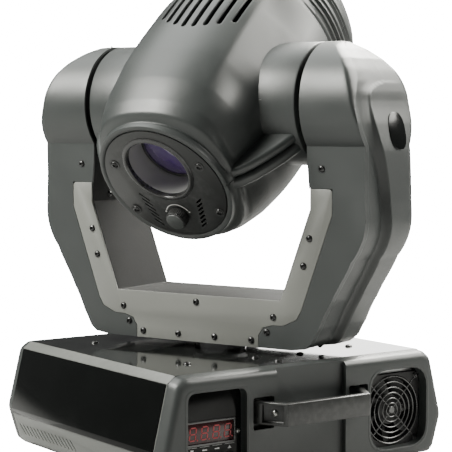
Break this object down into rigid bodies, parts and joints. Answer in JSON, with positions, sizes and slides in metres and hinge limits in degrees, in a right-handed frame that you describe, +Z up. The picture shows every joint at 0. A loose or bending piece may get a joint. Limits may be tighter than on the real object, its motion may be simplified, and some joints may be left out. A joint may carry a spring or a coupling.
{
  "type": "moving head light",
  "caption": "Stage spot light: a sealed optical head tilts in a fork-shaped yoke that pans on a low base with a display, carrying handles, a cooling fan and feet.",
  "frame": {"origin": "where the pan axis meets the flat underside of the base, above the feet", "axes": "+Z up along the pan axis, -Y out of the base's end with the display, -X out of the base's side nearest the display"},
  "size_m": [0.3804, 0.4448, 0.5796],
  "materials": {
    "grey_cover": "satin grey moulding",
    "grey_plate": "satin grey paint",
    "black_plate": "black paint",
    "black_plastic": "matt black",
    "button_plastic": "black keys",
    "display_red": "dark red window",
    "wire": "plated steel wire",
    "foot_rubber": "matt",
    "belt_rubber": "toothed belt",
    "socket_metal": "black zinc shell",
    "transformer_steel": "varnished laminations",
    "polished_hub": "polished",
    "pulley_aluminium": "machined",
    "bearing_steel": "ground",
    "motor_body": "black with bare end bells",
    "zinc_steel": "zinc plated sheet",
    "lens_tube": "black anodised",
    "lens_glass": "violet coated",
    "lamp_glass": "clear",
    "wheel_metal": "flat disc",
    "mirror_coating": "dichroic coating"
  },
  "bodies": {
    "base": {"base_tray": "black_plate", "top_plate": "black_plate", "side_panel_right": "black_plate", "side_panel_left": "black_plate", "front_end_cover": "grey_cover", "rear_end_cover": "grey_cover", "front_handle": "grey_plate", "rear_handle": "grey_plate", "control_panel": "black_plate", "display_window": "display_red", "base_fan_guard": "wire", "base_fan_frame": "black_plastic", "rubber_foot_1": "foot_rubber", "rubber_foot_2": "foot_rubber", "rubber_foot_3": "foot_rubber", "rubber_foot_4": "foot_rubber", "power_inlet": "black_plastic", "data_sockets": "socket_metal", "transformer": "transformer_steel", "pan_shaft": "polished_hub", "pan_pulley": "pulley_aluminium"},
    "yoke": {"pan_bearing": "bearing_steel", "yoke_bar": "grey_plate", "arm_plate_right": "grey_plate", "arm_plate_left": "grey_plate", "yoke_front_plate": "grey_plate", "yoke_rear_plate": "grey_plate", "arm_cover_right": "grey_cover", "arm_cover_left": "grey_cover", "pan_motor": "motor_body", "pan_belt": "belt_rubber", "tilt_motor": "motor_body", "tilt_belt": "belt_rubber", "tilt_bearing_right": "bearing_steel", "tilt_bearing_left": "bearing_steel"},
    "head": {"head_top_cover": "grey_cover", "head_bottom_cover": "grey_cover", "head_rear_cap": "grey_cover", "head_front_plate": "black_plate", "lens_barrel": "lens_tube", "front_lens": "lens_glass", "head_chassis": "zinc_steel", "tilt_axle_right": "pulley_aluminium", "tilt_axle_left": "pulley_aluminium", "reflector": "mirror_coating", "lamp": "lamp_glass", "lamp_holder": "zinc_steel"},
    "menu_button_1": {"menu_button_1": "button_plastic"},
    "menu_button_2": {"menu_button_2": "button_plastic"},
    "menu_button_3": {"menu_button_3": "button_plastic"},
    "menu_button_4": {"menu_button_4": "button_plastic"},
    "base_fan_rotor": {"base_fan_rotor": "black_plastic"},
    "power_switch": {"power_switch": "black_plastic"},
    "pan_motor_pulley": {"pan_motor_pulley": "pulley_aluminium"},
    "tilt_motor_pulley": {"tilt_motor_pulley": "pulley_aluminium"},
    "focus_knob": {"focus_knob": "black_plastic"},
    "focus_carriage": {"focus_carriage": "zinc_steel"},
    "colour_wheel": {"colour_wheel": "wheel_metal"},
    "gobo_wheel": {"gobo_wheel": "wheel_metal"},
    "head_fan_rotor": {"head_fan_rotor": "black_plastic"}
  },
  "joints": [
    {"name": "pan", "type": "hinge", "parent": "base", "child": "yoke", "pos_m": [0, 0, 0.13], "axis": [0, 0, 1], "range_deg": [-286.75, 243.25]},
    {"name": "tilt", "type": "hinge", "parent": "yoke", "child": "head", "pos_m": [0, 0, 0.3902], "axis": [0.3706, -0.9288, 0], "range_deg": [-268.46, 11.54]},
    {"name": "pan_motor_spin", "type": "hinge", "parent": "yoke", "child": "pan_motor_pulley", "pos_m": [-0.02594, 0.06502, 0.14], "axis": [0, 0, 1], "range_deg": [-1100, 1295]},
    {"name": "tilt_motor_spin", "type": "hinge", "parent": "yoke", "child": "tilt_motor_pulley", "pos_m": [0.06007, -0.15056, 0.2822], "axis": [0.3706, -0.9288, 0], "range_deg": [-1140, 60]},
    {"name": "focus_knob_turn", "type": "hinge", "parent": "head", "child": "focus_knob", "pos_m": [-0.07847, -0.03131, 0.26665], "axis": [-0.7273, -0.2902, -0.622], "range_deg": [-135, 135]},
    {"name": "focus_carriage_slide", "type": "slide", "parent": "head", "child": "focus_carriage", "axis": [-0.7273, -0.2902, -0.622], "range_m": [-0.012, 0.012]},
    {"name": "colour_wheel_spin", "type": "hinge", "parent": "head", "child": "colour_wheel", "pos_m": [-0.00514, 0.0324, 0.40361], "axis": [0.7273, 0.2902, 0.622], "continuous": true},
    {"name": "gobo_wheel_spin", "type": "hinge", "parent": "head", "child": "gobo_wheel", "pos_m": [0.02294, -0.0253, 0.40734], "axis": [0.7273, 0.2902, 0.622], "continuous": true},
    {"name": "head_fan_spin", "type": "hinge", "parent": "head", "child": "head_fan_rotor", "pos_m": [0.12073, 0.04817, 0.49345], "axis": [0.7273, 0.2902, 0.622], "continuous": true},
    {"name": "base_fan_spin", "type": "hinge", "parent": "base", "child": "base_fan_rotor", "pos_m": [0.12, -0.145, 0.053], "axis": [0, 1, 0], "continuous": true},
    {"name": "power_switch_rock", "type": "hinge", "parent": "base", "child": "power_switch", "pos_m": [-0.122, 0.165, 0.092], "axis": [1, 0, 0], "range_deg": [-15, 0]},
    {"name": "menu_button_1_press", "type": "slide", "parent": "base", "child": "menu_button_1", "axis": [0, 1, 0], "range_m": [0, 0.001], "stiffness_N_per_m": 500},
    {"name": "menu_button_2_press", "type": "slide", "parent": "base", "child": "menu_button_2", "axis": [0, 1, 0], "range_m": [0, 0.001], "stiffness_N_per_m": 500},
    {"name": "menu_button_3_press", "type": "slide", "parent": "base", "child": "menu_button_3", "axis": [0, 1, 0], "range_m": [0, 0.001], "stiffness_N_per_m": 500},
    {"name": "menu_button_4_press", "type": "slide", "parent": "base", "child": "menu_button_4", "axis": [0, 1, 0], "range_m": [0, 0.001], "stiffness_N_per_m": 500}
  ],
  "couplings": [
    {"joint": "pan_motor_spin", "follows": "pan", "ratio": -4.5},
    {"joint": "tilt_motor_spin", "follows": "tilt", "ratio": 4.2222},
    {"joint": "focus_knob_turn", "follows": "focus_carriage_slide", "rad_per_m": 196}
  ]
}
